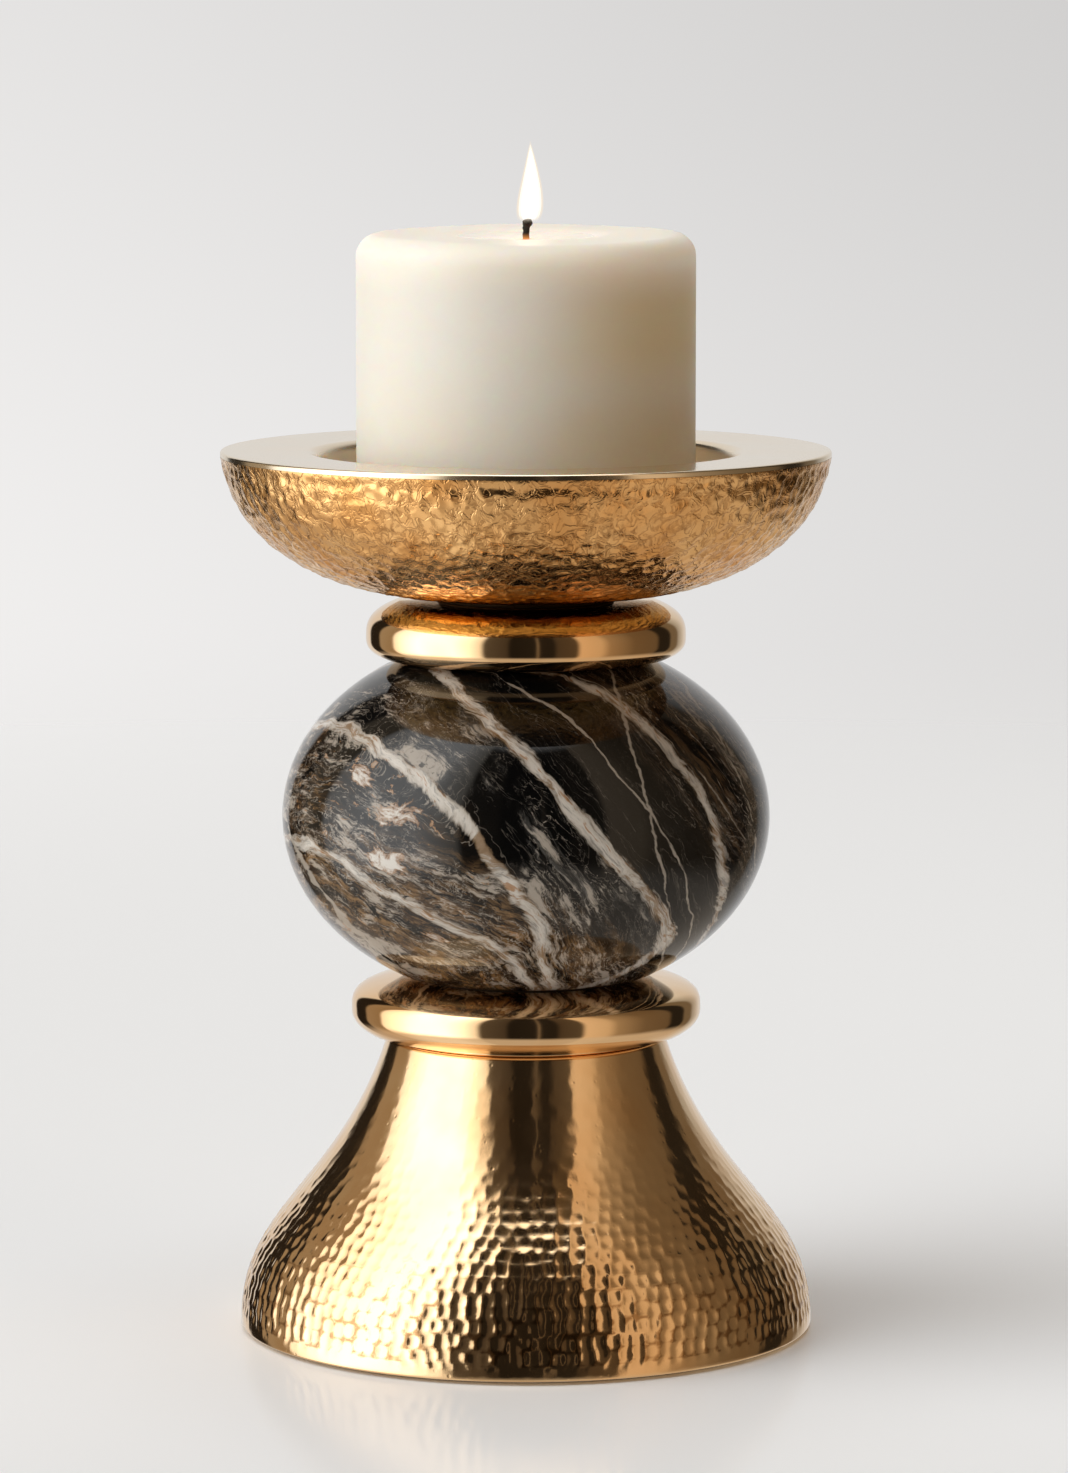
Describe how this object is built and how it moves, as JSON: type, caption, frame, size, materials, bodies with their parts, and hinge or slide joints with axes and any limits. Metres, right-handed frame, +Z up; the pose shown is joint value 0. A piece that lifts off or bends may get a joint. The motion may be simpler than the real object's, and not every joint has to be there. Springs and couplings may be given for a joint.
{
  "type": "pillar candle holder",
  "caption": "Pillar candle holder with a flared hammered base, a polished marble ball between two rings, and a hammered dish with a well for a pillar candle.",
  "frame": {"origin": "centre of the felt pad's underside, on the surface that the holder stands on", "axes": "+Z up along the rod that runs through the holder; the object is round about it"},
  "size_m": [0.137, 0.137, 0.2509],
  "materials": {
    "felt": "dense black felt",
    "hardboard": "bare hardboard",
    "hammered_brass": "hammered and polished gold-coloured brass",
    "polished_brass": "mirror polished gold-coloured brass",
    "pan_brass": "polished brass with fine turning lines",
    "black_marble": "polished black marble with cream, grey and tan veins",
    "fibre": "dark pressed fibre",
    "zinc_steel": "zinc plated",
    "ivory_wax": "satin ivory wax",
    "charred_cotton": "charred braided cotton",
    "tin_plate": "tin plated"
  },
  "bodies": {
    "holder": {"felt_pad": "felt", "base_cover_plate": "hardboard", "base_shell": "hammered_brass", "base_collar": "polished_brass", "lower_ring": "polished_brass", "lower_gasket": "fibre", "marble_ball": "black_marble", "upper_gasket": "fibre", "upper_ring": "polished_brass", "dish_boss": "polished_brass", "dish_bowl": "hammered_brass", "dish_pan": "pan_brass", "tie_rod": "zinc_steel", "clamp_washer": "zinc_steel", "lock_washer": "zinc_steel", "hex_nut": "zinc_steel"},
    "candle": {"candle_wax": "ivory_wax", "candle_wick": "charred_cotton", "wick_tab": "tin_plate"}
  },
  "joints": [
    {"name": "candle_lift", "type": "slide", "parent": "holder", "child": "candle", "axis": [0, 0, 1], "range_m": [0, 0.09]}
  ]
}
